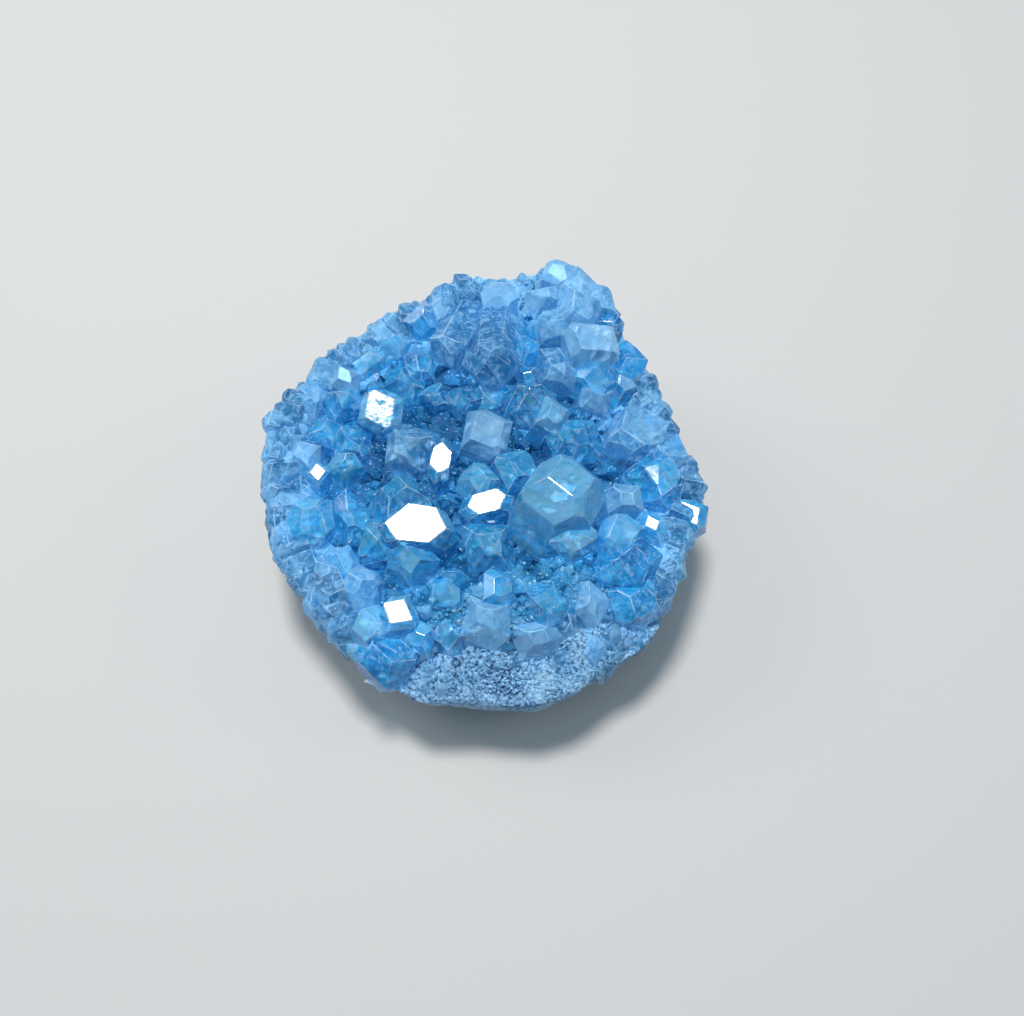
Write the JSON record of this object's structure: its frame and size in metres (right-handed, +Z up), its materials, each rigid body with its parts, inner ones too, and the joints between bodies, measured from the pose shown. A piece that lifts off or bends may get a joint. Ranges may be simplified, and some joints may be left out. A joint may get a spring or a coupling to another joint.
{
  "type": "celestite crystal cluster",
  "caption": "Palm-size mineral cluster: a shallow bowl of intergrown pale blue prismatic crystals on a rounded piece of pale rock that rests on its underside.",
  "frame": {"origin": "middle of the flat foot on the underside of the rock, on the surface that it rests on", "axes": "+Z up, +Y to the back where the rim is highest, +X to the right; the bare rock band of the rim is at -Y"},
  "size_m": [0.0785, 0.0799, 0.0354],
  "materials": {
    "matrix_rock": "rough granular",
    "celestite": "clear blue crystal, frosted in places"
  },
  "bodies": {
    "root": {"matrix": "matrix_rock", "crystals": "celestite"}
  },
  "joints": []
}
